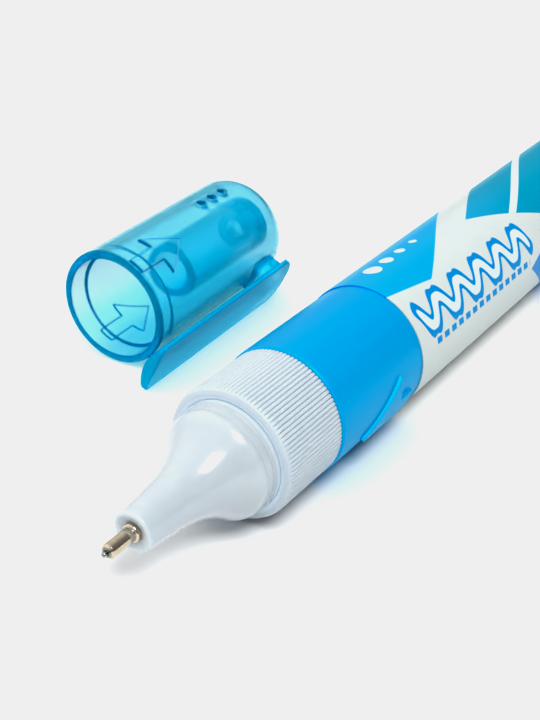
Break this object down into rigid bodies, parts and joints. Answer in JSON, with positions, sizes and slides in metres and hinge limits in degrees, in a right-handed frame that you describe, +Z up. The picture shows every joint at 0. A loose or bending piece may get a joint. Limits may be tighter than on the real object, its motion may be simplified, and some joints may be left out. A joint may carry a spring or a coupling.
{
  "type": "correction pen",
  "caption": "Squeeze correction pen with a ribbed collar, bell nozzle and sprung needle tip, lying beside its translucent clip cap.",
  "frame": {"origin": "middle of the outline of the pen and its cap, on the table they lie on", "axes": "+X along the pen from its tip to its tail, +Y towards the cap beside it, +Z up"},
  "size_m": [0.121, 0.0504, 0.0168],
  "materials": {
    "bottle_blue": "satin blue polyethylene",
    "label_film": "printed film",
    "collar_white": "satin white moulding",
    "nozzle_white": "glossy white moulding",
    "nickel": "drawn nickel silver",
    "steel": "bright steel",
    "natural_plastic": "natural moulding",
    "cap_blue": "translucent blue moulding",
    "sleeve_blue": "translucent blue moulding"
  },
  "bodies": {
    "pen": {"bottle": "bottle_blue", "label_sleeve": "label_film", "ribbed_collar": "collar_white", "nozzle": "nozzle_white", "tip_tube": "nickel", "spring_plug": "natural_plastic", "valve_spring": "steel"},
    "needle": {"valve_needle": "steel", "needle_slider": "natural_plastic"},
    "ball": {"mixing_ball": "steel"},
    "cap": {"cap_shell": "cap_blue", "cap_inner_sleeve": "sleeve_blue"}
  },
  "joints": [
    {"name": "needle_slide", "type": "slide", "parent": "pen", "child": "needle", "axis": [1, 0, 0], "range_m": [0, 0.0005], "stiffness_N_per_m": 200, "springref_m": -0.002, "deforming": ["valve_spring"]},
    {"name": "ball_slide", "type": "slide", "parent": "pen", "child": "ball", "axis": [1, 0, 0], "range_m": [-0.0568, 0.0254]},
    {"name": "cap_slide", "type": "slide", "parent": "pen", "child": "cap", "axis": [0.999, 0.0454, 0], "range_m": [0, 0.021]}
  ]
}
